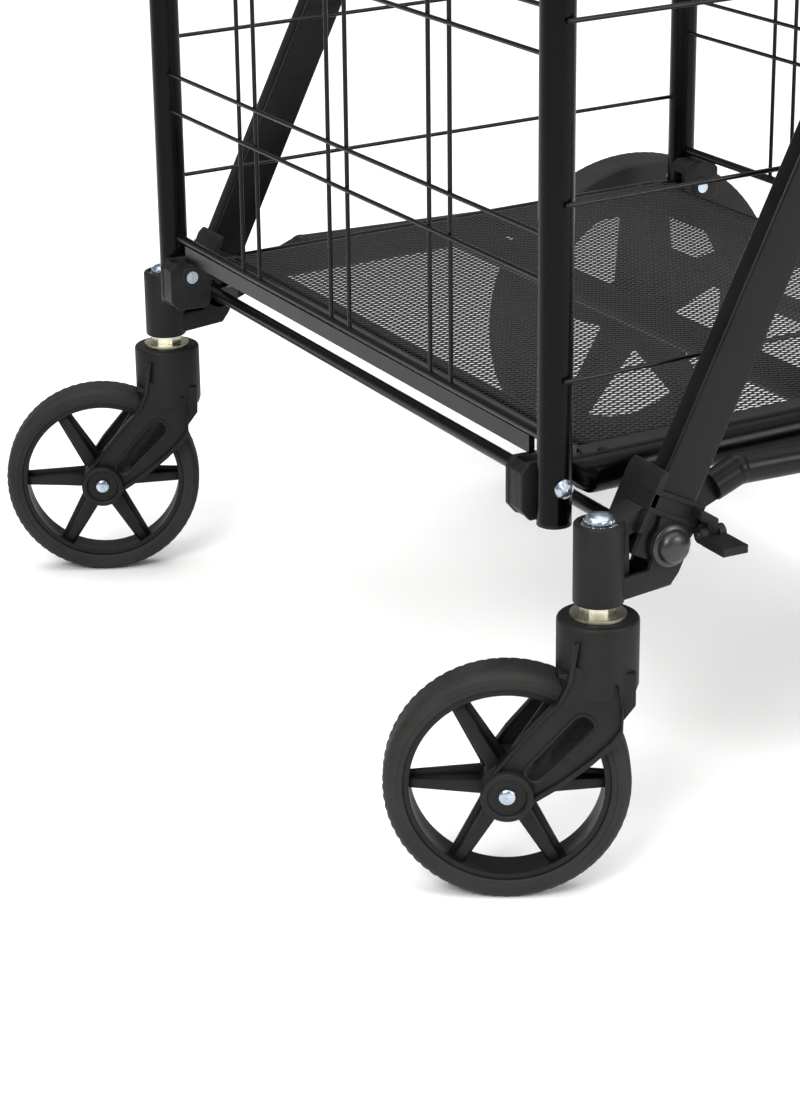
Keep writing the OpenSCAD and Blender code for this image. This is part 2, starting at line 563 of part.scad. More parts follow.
left_leg();
right_leg();
handle_tube();
handle_grip();
left_bracket();
right_bracket();
lower_cross_rod();
dome_bolts();
stem_bolts();
stem_nuts();
left_front_post();
right_front_post();
front_post_plugs();
front_bottom_rod();
front_flat_bar();
front_wires();
front_top_rail();
front_connectors();
deck_bolts();
upper_arms();
arm_bolts();
left_deck_rail();
right_deck_rail();
deck_cross_tubes();
deck_mesh();
left_back_post();
right_back_post();
back_post_plugs();
back_bottom_rod();
back_wires();
back_top_rail();
back_connectors();
back_bolts();
side_wires_1();
side_wires_2();
side_wires_3();
side_wires_4();
side_top_rails();
left_rear_stay();
right_rear_stay();
rear_cross_tube();
rear_axle();
axle_spacers();
axle_caps();
left_rear_rim();
left_rear_tyre();
right_rear_rim();
right_rear_tyre();
left_fork();
right_fork();
left_caster_axle();
right_caster_axle();
left_caster_rim();
left_caster_tyre();
right_caster_rim();
right_caster_tyre();
left_pedal();
right_pedal();
pedal_pins();
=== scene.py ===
# Folding wire shelf cart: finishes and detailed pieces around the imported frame.
import bpy, bmesh, json, math
from mathutils import Matrix, Vector


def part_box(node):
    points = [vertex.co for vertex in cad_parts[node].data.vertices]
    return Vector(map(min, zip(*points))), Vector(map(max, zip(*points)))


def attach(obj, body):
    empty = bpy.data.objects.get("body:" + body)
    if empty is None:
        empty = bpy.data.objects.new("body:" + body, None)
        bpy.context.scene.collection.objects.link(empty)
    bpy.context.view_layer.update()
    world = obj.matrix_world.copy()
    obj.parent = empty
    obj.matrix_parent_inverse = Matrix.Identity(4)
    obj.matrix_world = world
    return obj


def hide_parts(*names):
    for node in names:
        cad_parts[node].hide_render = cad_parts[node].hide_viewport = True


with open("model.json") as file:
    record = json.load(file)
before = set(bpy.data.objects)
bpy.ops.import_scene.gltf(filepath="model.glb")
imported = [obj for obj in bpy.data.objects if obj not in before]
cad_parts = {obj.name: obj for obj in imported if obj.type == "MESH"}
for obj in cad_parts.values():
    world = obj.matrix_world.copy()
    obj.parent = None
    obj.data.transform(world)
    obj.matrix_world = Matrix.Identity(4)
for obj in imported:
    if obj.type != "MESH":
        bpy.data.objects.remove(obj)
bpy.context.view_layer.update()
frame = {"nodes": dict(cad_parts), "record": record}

MM = 0.001          # a millimetre in metres: shapes are drawn in millimetres and scaled at the end
PER_METRE = 1000.0  # features per metre when one feature is a millimetre across
JOINTS = {j["name"]: j for j in frame["record"]["behaviour"]["joints"]}


def joint_pos(name):
    return Vector(JOINTS[name]["pos_m"])


# ---- materials ----
def linear(hexcode):
    values = [int(hexcode[i:i + 2], 16) / 255 for i in (1, 3, 5)]
    return [v / 12.92 if v <= 0.04045 else ((v + 0.055) / 1.055) ** 2.4 for v in values] + [1.0]


def add(owner, kind, settings=(), links=()):
    """Adds a node to a material or world, sets its sockets or properties, and links its inputs."""
    node = owner.node_tree.nodes.new(kind)
    for key, value in dict(settings).items():
        if isinstance(key, str) and hasattr(node, key) and key not in node.inputs:
            setattr(node, key, value)
        else:
            node.inputs[key].default_value = value
    for key, source in dict(links).items():
        owner.node_tree.links.new(source, node.inputs[key])
    return node


def finish(name, **sockets):
    """A material whose shader sockets hold the given constants, with its Object coordinates."""
    mat = bpy.data.materials.new(name)
    mat.use_nodes = True
    shader = mat.node_tree.nodes["Principled BSDF"]
    for key, value in sockets.items():
        shader.inputs[key.replace("_", " ")].default_value = value
    coords = add(mat, "ShaderNodeTexCoord").outputs["Object"]
    return mat, shader, coords


def grained(name, dark, light, rough, rough_more, grain_mm, depth_mm, blotch_mm=30, **sockets):
    """A finish with a fine surface grain and slow changes of tone and gloss."""
    mat, shader, coords = finish(name, Roughness=rough, **sockets)
    blotch = add(mat, "ShaderNodeTexNoise", {"Scale": PER_METRE / blotch_mm, "Detail": 3.0, "Roughness": 0.6},
                 {"Vector": coords}).outputs["Fac"]
    grain = add(mat, "ShaderNodeTexNoise", {"Scale": PER_METRE / grain_mm, "Detail": 2.0, "Roughness": 0.6},
                {"Vector": coords}).outputs["Fac"]
    share = add(mat, "ShaderNodeMapRange", {"From Min": 0.35, "From Max": 0.65, "To Min": 0, "To Max": 1},
                {"Value": blotch})
    # sockets of the colour mix: 0 is its factor, 6 and 7 its two colours, and 2 its colour output
    tone = add(mat, "ShaderNodeMix", {"data_type": "RGBA", 6: linear(dark), 7: linear(light)},
               {0: share.outputs["Result"]})
    gloss = add(mat, "ShaderNodeMapRange",
                {"From Min": 0.3, "From Max": 0.7, "To Min": rough, "To Max": rough_more}, {"Value": blotch})
    relief = add(mat, "ShaderNodeBump", {"Strength": 1.0, "Distance": depth_mm * MM}, {"Height": grain})
    for socket, source in (("Base Color", tone.outputs[2]), ("Roughness", gloss.outputs["Result"]),
                           ("Normal", relief.outputs["Normal"])):
        mat.node_tree.links.new(source, shader.inputs[socket])
    return mat


# Glass-filled nylon, injection moulded with a spark-eroded grain: matt, dark grey where light grazes it.
MOULDED_NYLON = grained("glass filled nylon, moulded", "#0c0c0c", "#161615", 0.46, 0.6, 1.1, 0.12,
                        Specular_IOR_Level=0.2)
# Solid rubber tyre: duller and a little greyer than the moulding.
TYRE_RUBBER = grained("solid rubber tyre", "#181817", "#232322", 0.6, 0.74, 1.6, 0.14,
                      Specular_IOR_Level=0.25)
# Polypropylene rim: smoother moulding with a soft sheen.
RIM_NYLON = grained("polypropylene wheel rim, moulded", "#0c0c0c", "#141413", 0.42, 0.54, 1.4, 0.05,
                    Specular_IOR_Level=0.2)
# Powder coat on the leg tubes: satin with a slight orange-peel texture.
LEG_POWDER_COAT = grained("black powder coat, satin", "#070708", "#0c0c0d", 0.28, 0.4, 1.8, 0.05,
                          Specular_IOR_Level=0.17)
# Baked enamel on round tubes: deep black with sharp highlights.
TUBE_ENAMEL = grained("black baked enamel on round tube", "#010101", "#030303", 0.22, 0.3, 3.0, 0.02,
                      Specular_IOR_Level=0.1)
# Drawn steel wire, dipped in black enamel.
WIRE_ENAMEL = grained("black enamelled wire", "#030303", "#070707", 0.24, 0.34, 2.5, 0.02,
                      Specular_IOR_Level=0.2)
# Expanded steel sheet, powder coated: satin, with grey highlights on its slanted strands.
MESH_COAT = grained("black powder coat on expanded metal", "#0a0a0a", "#121212", 0.3, 0.45, 2.2, 0.03,
                    Specular_IOR_Level=0.3)
# Bright zinc plate: cool silver with a faint blue passivation.
BRIGHT_ZINC = grained("bright zinc plate", "#98a4b0", "#c2cbd4", 0.22, 0.34, 4.0, 0.02, 12, Metallic=1.0)
# Yellow zinc plate: pale straw-coloured, uneven.
YELLOW_ZINC = grained("pale yellow zinc plate", "#b3b09c", "#d4d2c2", 0.24, 0.38, 2.0, 0.04, 9, Metallic=1.0)
# Nitrile foam grip: matt with fine closed cells.
GRIP_FOAM = grained("nitrile foam grip", "#0e0e0e", "#151515", 0.75, 0.88, 0.9, 0.25, Specular_IOR_Level=0.2)
# Semi-gloss moulded cap over the pivot bolt.
CAP_NYLON = grained("nylon cap, semi-gloss", "#121212", "#1a1a1b", 0.3, 0.42, 1.5, 0.03,
                    Specular_IOR_Level=0.5)

SLOT_FINISH = {
    "black_paint_leg": LEG_POWDER_COAT, "black_gloss_tube": TUBE_ENAMEL, "black_stay_tube": LEG_POWDER_COAT,
    "black_wire": WIRE_ENAMEL, "black_mesh": MESH_COAT, "black_moulding": MOULDED_NYLON,
    "grip_foam": GRIP_FOAM, "dome_black": CAP_NYLON, "bright_zinc": BRIGHT_ZINC, "yellow_zinc": YELLOW_ZINC,
    "wheel_rim": RIM_NYLON, "tyre_rubber": TYRE_RUBBER}
SLOT_OF = {s["node"]: s["material_slot"] for s in frame["record"]["subparts"]}
for node_name, node_object in frame["nodes"].items():
    for material_slot in node_object.material_slots:
        material_slot.material = SLOT_FINISH[SLOT_OF[node_name]]

# ---- modelling helpers ----
SHARP_ANGLE = math.radians(32)
SAME_POINT = 0.002  # points nearer than this, in mm, are one
ON_AXIS = 0.01      # radius in mm that closes a lathe profile without putting points on the axis


def to_piece(bm, name, body, nodes, material, matrix=None, bevel=0.0, bevel_segments=2):
    """Turns a bmesh made in millimetres into a piece that rides on a body and stands for CAD nodes."""
    bmesh.ops.remove_doubles(bm, verts=bm.verts, dist=SAME_POINT)
    if matrix is not None:
        bm.transform(matrix)
    bmesh.ops.recalc_face_normals(bm, faces=bm.faces)
    if bevel:
        edges = [e for e in bm.edges if e.is_manifold and e.calc_face_angle(0) > SHARP_ANGLE]
        bmesh.ops.bevel(bm, geom=edges, offset=bevel, segments=bevel_segments, affect="EDGES", profile=0.5,
                        material=-1, clamp_overlap=True)
    bm.transform(Matrix.Scale(MM, 4))
    for face in bm.faces:
        face.smooth = True
    for edge in bm.edges:
        edge.smooth = not (edge.is_manifold and edge.calc_face_angle(0) > SHARP_ANGLE)
    mesh = bpy.data.meshes.new(name)
    bm.to_mesh(mesh)
    bm.free()
    mesh.materials.append(material)
    piece = bpy.data.objects.new(name, mesh)
    bpy.context.collection.objects.link(piece)
    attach(piece, body)
    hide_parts(*nodes)


def lathe(bm, profile, steps=64, axis="X"):
    """Spins a closed profile of (radius, place along the axis) points round the X or Z axis."""
    made = [bm.verts.new((along, 0, radius) if axis == "X" else (radius, 0, along))
            for radius, along in profile]
    edges = [bm.edges.new((made[i], made[(i + 1) % len(made)])) for i in range(len(made))]
    bmesh.ops.spin(bm, geom=made + edges, cent=(0, 0, 0), axis=(1, 0, 0) if axis == "X" else (0, 0, 1),
                   angle=2 * math.pi, steps=steps, use_merge=True, use_duplicate=False)


def moved_verts(result):
    """The vertices in what a bmesh operator gives back."""
    return [item for item in result["geom"] if isinstance(item, bmesh.types.BMVert)]


def merge(bm, other):
    """Copies another bmesh into this one and frees it."""
    carrier = bpy.data.meshes.new("carrier")
    other.to_mesh(carrier)
    other.free()
    bm.from_mesh(carrier)
    bpy.data.meshes.remove(carrier)


def slab(bm, outline, x0, x1, rib=0.0, sink=0.0):
    """A plate with a (y, z) outline from x0 to x1; with a rib width, its middle sinks on the x1 side."""
    face = bm.faces.new([bm.verts.new((x0, y, z)) for y, z in outline])
    grown = bmesh.ops.extrude_face_region(bm, geom=[face])
    bmesh.ops.translate(bm, verts=moved_verts(grown), vec=(x1 - x0, 0, 0))
    if rib:
        top = [f for f in grown["geom"] if isinstance(f, bmesh.types.BMFace)]
        bmesh.ops.inset_region(bm, faces=top, thickness=rib, use_even_offset=True)
        bmesh.ops.translate(bm, verts=list({v for f in top for v in f.verts}),
                            vec=(-sink if x1 > x0 else sink, 0, 0))


def block(bm, low, high, matrix=None):
    """A box between two corners; returns its vertices."""
    size = Vector(high) - Vector(low)
    centre = (Vector(high) + Vector(low)) / 2
    m = Matrix.Translation(centre) @ Matrix.Diagonal((*size, 1))
    return bmesh.ops.create_cube(bm, size=1, matrix=(matrix @ m) if matrix is not None else m)["verts"]


def disc(bm, radius, x0, x1, y, z, segments=32):
    """A short cylinder along X between x0 and x1."""
    m = Matrix.Translation(((x0 + x1) / 2, y, z)) @ Matrix.Rotation(math.pi / 2, 4, "Y")
    bmesh.ops.create_cone(bm, cap_ends=True, segments=segments, radius1=radius, radius2=radius,
                          depth=abs(x1 - x0), matrix=m)


def arc(cy, cz, radius, start, end, steps):
    """Points along an arc in the YZ plane, its angles in degrees."""
    angles = [math.radians(start + (end - start) * i / steps) for i in range(steps + 1)]
    return [(cy + radius * math.cos(a), cz + radius * math.sin(a)) for a in angles]


# ---- wheels ----
TREAD_DEPTH = 1.0
TREAD_MIDDLE = 0.2  # half width of the tread's middle column, as a share of the tyre's


def tyre(name, body, node, matrix, outer, seat, half_width, steps):
    """Solid tyre: flat side walls with a lip line, rounded shoulders and a cross-hatched tread."""
    bm = bmesh.new()
    flat = outer - 4.4  # the side wall is flat out to here
    # the shoulder's tread columns, by their distance in from the side wall and their drop from the crown
    columns = [half_width - inset for inset in (1.0, 2.8, 4.8, 7.4)]
    crown = [outer - drop for drop in (2.6, 1.2, 0.45, 0.25)]
    wall = [(seat, half_width - 1.6), (seat + 1.6, half_width - 0.6), (seat + 3.4, half_width - 0.5),
            (seat + 3.9, half_width), (flat, half_width)]
    half = wall + list(zip(crown, columns))
    centre = [(crown[-1], half_width * TREAD_MIDDLE), (crown[-1], -half_width * TREAD_MIDDLE)]
    profile = half + centre + [(r, -x) for r, x in reversed(half)]
    lathe(bm, profile, steps)
    bmesh.ops.remove_doubles(bm, verts=bm.verts, dist=SAME_POINT)
    across = sorted(columns + [-c for c in columns] + [x for _, x in centre])
    for vert in bm.verts:
        radius = math.hypot(vert.co.y, vert.co.z)
        if radius > flat + 1:
            turn = round(math.atan2(vert.co.y, vert.co.z) / (2 * math.pi) * steps)
            column = min(range(len(across)), key=lambda k: abs(across[k] - vert.co.x))
            if (turn + column) % 2:
                scale = (radius - TREAD_DEPTH) / radius
                vert.co.y *= scale
                vert.co.z *= scale
    to_piece(bm, name, body, [node], TYRE_RUBBER, matrix)


def rim(name, body, node, matrix, seat, opening, half_width, hub_radius, hub_half, bore, spokes, first,
        spoke_width):
    """Moulded rim: a channelled ring, a stepped hub and tapered spokes."""
    bm = bmesh.new()
    lathe(bm, [(opening, half_width), (seat - 0.05, half_width), (seat - 0.05, -half_width),
               (opening, -half_width), (opening + 1.2, -half_width * 0.5),
               (opening + 1.2, half_width * 0.5)], 96)
    lathe(bm, [(bore, hub_half), (hub_radius * 0.72, hub_half), (hub_radius * 0.78, hub_half - 1.5),
               (hub_radius, hub_half - 2.5), (hub_radius, -hub_half + 2.5),
               (hub_radius * 0.78, -hub_half + 1.5), (hub_radius * 0.72, -hub_half), (bore, -hub_half)], 48)
    for i in range(spokes):
        turn = Matrix.Rotation(math.radians(first + i * 360 / spokes), 4, "X")
        inner, outer = hub_radius - 2, opening + 1.6
        # a thick, narrow spine and a thin, broad web: half thickness in mm, then half width as a share of
        # the spoke's, each at the hub and at the ring
        for thick, wide in (((hub_half - 4, half_width * 0.62), (0.62, 0.42)), ((1.6, 1.6), (1.15, 0.8))):
            verts = block(bm, (-1, -1, inner), (1, 1, outer))
            for vert in verts:
                end = 0 if vert.co.z < (inner + outer) / 2 else 1
                vert.co.x *= thick[end]
                vert.co.y *= spoke_width * wide[end]
            bmesh.ops.transform(bm, matrix=turn, verts=verts)
    to_piece(bm, name, body, [node], RIM_NYLON, matrix, bevel=0.5)


def wheel_matrix(joint):
    """Puts a wheel drawn round X at the origin on its spin joint."""
    pos = joint_pos(joint) / MM
    ax = Vector(JOINTS[joint]["axis"])
    return Matrix.Translation(pos) @ Matrix.Rotation(math.atan2(ax.y, ax.x), 4, "Z")


def node_radius(node):
    low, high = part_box(node)
    return (high.z - low.z) / 2 / MM


for side in ("left", "right"):
    m = wheel_matrix(side + "_caster_spin")
    r = node_radius(side + "_caster_tyre")
    tyre(side + "_caster_tyre_rubber", side + "_caster_wheel", side + "_caster_tyre", m, outer=r,
         seat=r - 12.5, half_width=14, steps=132)
    rim(side + "_caster_rim_moulding", side + "_caster_wheel", side + "_caster_rim", m, seat=r - 12.5,
        opening=r - 16.5, half_width=11.5, hub_radius=16, hub_half=17, bore=4.06, spokes=6, first=30,
        spoke_width=7)
    m = wheel_matrix(side + "_rear_wheel_spin")
    r = node_radius(side + "_rear_tyre")
    tyre(side + "_rear_tyre_rubber", side + "_rear_wheel", side + "_rear_tyre", m, outer=r,
         seat=r * 0.82, half_width=17, steps=220)
    rim(side + "_rear_rim_moulding", side + "_rear_wheel", side + "_rear_rim", m, seat=r * 0.82,
        opening=r * 0.72, half_width=14, hub_radius=24, hub_half=20, bore=6.06, spokes=5, first=0,
        spoke_width=17)


# ---- caster forks ----
CASTER_TRAIL = 53.5  # from the swivel line back to the axle
CASTER_AXLE_Z = 75
POCKET_R = 79.5      # the crown is hollowed to this radius over the wheel


def fork(side):
    """A moulded fork: swivel cup, crown, and a ribbed arm with an axle boss on each side."""
    sweep = JOINTS[side + "_caster_spin"]["axis"]
    swivel = joint_pos(side + "_caster_swivel") / MM
    m = Matrix.Translation((swivel.x, swivel.y, 0)) @ Matrix.Rotation(math.atan2(sweep[1], sweep[0]), 4, "Z")
    top, trail, wheel_z = swivel.z, CASTER_TRAIL, CASTER_AXLE_Z
    bm = bmesh.new()
    lathe(bm, [(6.1, top), (22.9, top), (24.1, top - 0.6), (24.7, top - 2), (24.7, top - 42),
               (23.5, top - 46), (6.1, top - 46)], 72, "Z")
    # crown between the arms, hollowed over the wheel
    pocket = arc(-trail, wheel_z, POCKET_R, 68, 33, 8)
    slab(bm, pocket + [(22, top - 50), (22, top - 30), (-23, top - 30)], -19, 19)
    front = [(-14.5, top - 9), (-16.5, top - 22), (-18.5, top - 34), (-23.9, top - 46), (-37.7, top - 61),
             (-53.9, wheel_z + 25), (-62, wheel_z + 13)]
    rear = [(12.5, top - 38), (14.8, top - 52), (14.5, top - 66), (9, top - 74), (-2.7, wheel_z + 19.9),
            (-20, wheel_z + 5.8), (-36.3, wheel_z - 4.6), (-44, wheel_z - 10)]
    for out in (1, -1):
        slab(bm, front[1:] + rear[::-1], out * 18.5, out * 22.6)
        for edge, inward, height in ((front, (2.9, 1.2), 25), (rear, (-1.4, 3.0), 24.6)):
            band = edge + [(y + inward[0], z + inward[1]) for y, z in reversed(edge)]
            slab(bm, band, out * 17.5, out * height)
        # raised pad with a sunk middle, on the arm's outer face
        pad = arc(-9, 118.5, 8.5, -42, 138, 10) + arc(-37, 89, 7, 138, 318, 8)
        slab(bm, pad, out * 21, out * 23.6, rib=1.5, sink=1.0)
        boss = bmesh.new()
        lathe(boss, [(4.05, 18.6), (16, 18.6), (16, 27.5), (15.2, 29), (13.2, 29.4), (12, 28.6), (11.4, 26.4),
                     (4.05, 26.4)], 48)
        boss.transform(Matrix.Translation((0, -trail, wheel_z)) @
                       Matrix.Rotation(0 if out > 0 else math.pi, 4, "Z"))
        merge(bm, boss)
    to_piece(bm, side + "_fork_moulding", side + "_caster", [side + "_fork"], MOULDED_NYLON,
             m, bevel=0.7, bevel_segments=3)


fork("left")
fork("right")

# ---- deck mesh ----
DECK_RISE = math.radians(1.7)
pivot = joint_pos("deck_fold") / MM
ON_DECK = Matrix.Translation(pivot) @ Matrix.Rotation(DECK_RISE, 4, "X")
LONG_WAY, SHORT_WAY, STRAND = 9.6, 5.2, 0.72  # a diamond's length and width, and its strands' width
STRAND_T, STRAND_SLANT = 0.4, 0.3             # their thickness, and the rise and fall across them
SAME_CORNER = 0.01                            # corners of neighbouring diamonds are joined within this
SHEET_TOP = 8.5                               # top of the sheet above the pivot line


def diamond_sheet(name, width, depth, matrix, replaced):
    """Expanded metal: diamonds with slanted strands, the long way along the deck."""
    bm = bmesh.new()
    rows, columns = int(depth / LONG_WAY), int(width / SHORT_WAY)
    for offset in (0, 0.5):
        centre = Vector((offset * SHORT_WAY, offset * LONG_WAY, 0))
        outer = [(SHORT_WAY / 2, 0), (0, LONG_WAY / 2), (-SHORT_WAY / 2, 0), (0, -LONG_WAY / 2)]
        hole = [(SHORT_WAY / 2 - STRAND * 0.62, 0), (0, LONG_WAY / 2 - STRAND * 1.4),
                (-SHORT_WAY / 2 + STRAND * 0.62, 0), (0, -LONG_WAY / 2 + STRAND * 1.4)]
        rims = []
        for z in (0, -STRAND_T):
            rims.append([bm.verts.new(centre + Vector((x, y, z))) for x, y in outer])
            slanted = [(x, y, z + (math.copysign(STRAND_SLANT, x) if x else 0)) for x, y in hole]
            rims.append([bm.verts.new(centre + Vector(point)) for point in slanted])
        for i in range(4):
            j = (i + 1) % 4
            bm.faces.new((rims[0][i], rims[0][j], rims[1][j], rims[1][i]))
            bm.faces.new((rims[1][i], rims[1][j], rims[3][j], rims[3][i]))
            bm.faces.new((rims[3][i], rims[3][j], rims[2][j], rims[2][i]))
    bm.transform(Matrix.Translation((-(columns - 0.5) * SHORT_WAY / 2, LONG_WAY / 2, 0)))
    for count, step in ((columns, Vector((SHORT_WAY, 0, 0))), (rows, Vector((0, LONG_WAY, 0)))):
        source = list(bm.verts) + list(bm.edges) + list(bm.faces)
        for i in range(1, count):
            copy = bmesh.ops.duplicate(bm, geom=source)
            bmesh.ops.translate(bm, verts=moved_verts(copy), vec=step * i)
    bmesh.ops.remove_doubles(bm, verts=bm.verts, dist=SAME_CORNER)
    bm.transform(matrix)
    bm.transform(Matrix.Scale(MM, 4))
    mesh = bpy.data.meshes.new(name)
    bm.to_mesh(mesh)
    bm.free()
    mesh.materials.append(MESH_COAT)
    piece = bpy.data.objects.new(name, mesh)
    bpy.context.collection.objects.link(piece)
    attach(piece, "deck")
    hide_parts(*replaced)


SHEET_START, SHEET_END, SHEET_HALF, LIP = 35.0, 415.0, 251.0, 13.5
diamond_sheet("deck_mesh_sheet", 2 * SHEET_HALF, SHEET_END - SHEET_START,
              ON_DECK @ Matrix.Translation((0, SHEET_START, SHEET_TOP)), ["deck_mesh"])

# ---- lips of the mesh sheet, folded down on to the deck's rim tubes ----
bm = bmesh.new()
LIP_DOWN, SHEET_T = 4.2, 0.9
for hand in (1, -1):
    section = [(SHEET_HALF - 0.6, 0), (SHEET_HALF + 1.2, -0.2), (SHEET_HALF + LIP, -LIP_DOWN),
               (SHEET_HALF + LIP, -LIP_DOWN - SHEET_T), (SHEET_HALF + 0.8, -SHEET_T - 0.3),
               (SHEET_HALF - 0.6, -SHEET_T)]
    ring = [bm.verts.new((hand * x, SHEET_START - 2, SHEET_TOP + z)) for x, z in section]
    face = bm.faces.new(ring)
    grown = bmesh.ops.extrude_face_region(bm, geom=[face])
    bmesh.ops.translate(bm, verts=moved_verts(grown), vec=(0, SHEET_END - SHEET_START + 1, 0))
for y, step in ((SHEET_START, -1), (SHEET_END - 1, 1)):
    slab(bm, [(y, SHEET_TOP), (y + step * 1.5, SHEET_TOP), (y + step * 2.4, SHEET_TOP - 4.5),
              (y + step * 1.5, SHEET_TOP - 4.5), (y, SHEET_TOP - SHEET_T)], -SHEET_HALF, SHEET_HALF)
to_piece(bm, "deck_mesh_lips", "deck", ["deck_mesh"], MESH_COAT, ON_DECK, bevel=0.3,
         bevel_segments=1)

# ---- legs: rolled corners catch the light along their edges ----
LEG_LEAN, LEG_DEEP, LEG_THICK, CORNER = math.radians(26), 30, 15, 2.6
LEG_WALL = 1.5
END_AREA = 300       # an end face larger than this, in square mm, is sunk
END_SINK = 6
for side in ("left", "right"):
    low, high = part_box(side + "_leg")
    centre = (low + high) / 2 / MM
    tall = ((high.z - low.z) / MM - LEG_DEEP * math.sin(LEG_LEAN)) / math.cos(LEG_LEAN)
    bm = bmesh.new()
    # the tube, and the filling inside its wall
    for inset in (0, LEG_WALL):
        block(bm, (-LEG_THICK / 2 + inset, -LEG_DEEP / 2 + inset, -tall / 2),
              (LEG_THICK / 2 - inset, LEG_DEEP / 2 - inset, tall / 2))
    rims = [e for e in bm.edges if abs((e.verts[0].co - e.verts[1].co).z) > tall / 2]
    bmesh.ops.bevel(bm, geom=rims, offset=CORNER, segments=5, affect="EDGES", profile=0.5)
    ends = [f for f in bm.faces if abs(f.normal.z) > 0.9]
    bmesh.ops.inset_individual(bm, faces=ends, thickness=LEG_WALL)
    for face in [f for f in bm.faces if abs(f.normal.z) > 0.9 and f.calc_area() > END_AREA]:
        grown = bmesh.ops.extrude_face_region(bm, geom=[face])
        bmesh.ops.translate(bm, verts=moved_verts(grown),
                            vec=(0, 0, -END_SINK if face.calc_center_median().z > 0 else END_SINK))
        bmesh.ops.delete(bm, geom=[face], context="FACES_ONLY")
    to_piece(bm, side + "_leg_tube", "frame", [side + "_leg"], LEG_POWDER_COAT,
             Matrix.Translation(centre) @ Matrix.Rotation(-LEG_LEAN, 4, "X"))

# ---- connectors between posts and deck ----
CHEEKS = ((249.5, 253.9), (265.1, 269.5))  # the two cheeks of a connector, from X to X
FILLING = (252, 267)
COLLAR_X, COLLAR_LONG = 248.9, 1.6
for row, node, pivot_name, body, turn, long_jaw in (
        ("front", "front_connectors", "deck_fold", "frame", 1, 25),
        ("back", "back_connectors", "back_panel_fold", "back_panel", -1, 21)):
    cheek = [(16, 7.4), (13, 11.4), (-11, 11.4), (-16, 5.4), (-16, -long_jaw + 7), (-10, -long_jaw),
             (11, -long_jaw), (16, -long_jaw + 5)]
    filling = [(16, -11.2), (-9, -11.2), (-9, 9), (-11, 11), (-15.5, 5.4), (-15.5, -long_jaw + 7),
               (-9.5, -long_jaw + 0.5), (11, -long_jaw + 0.5), (15.5, -long_jaw + 5)]
    bm = bmesh.new()
    for hand in (1, -1):
        for outline, (x0, x1) in ((cheek, CHEEKS[0]), (cheek, CHEEKS[1]), (filling, FILLING)):
            slab(bm, [(turn * y, turn * z) for y, z in outline], hand * x0, hand * x1)
        bmesh.ops.create_cone(bm, cap_ends=True, segments=32, radius1=8.2, radius2=7.4, depth=COLLAR_LONG,
                              matrix=Matrix.Translation((hand * COLLAR_X, 0, 0)) @
                              Matrix.Rotation(-hand * math.pi / 2, 4, "Y"))
    to_piece(bm, row + "_connector_blocks", body, [node], MOULDED_NYLON,
             Matrix.Translation(joint_pos(pivot_name) / MM), bevel=1.1, bevel_segments=3)


# ---- caster brackets ----
SLEEVE_FOOT, SLEEVE_HEAD = 8.6, 58.6  # the sleeve's ends above the swivel's joint point


def leg_slice(bm, y, z, thick, grow):
    """A band round the leg tube, square to the leg."""
    block(bm, (-LEG_THICK / 2 - grow, -LEG_DEEP / 2 - grow, -thick / 2),
          (LEG_THICK / 2 + grow, LEG_DEEP / 2 + grow, thick / 2),
          Matrix.Translation((0, y, z)) @ Matrix.Rotation(-LEG_LEAN, 4, "X"))


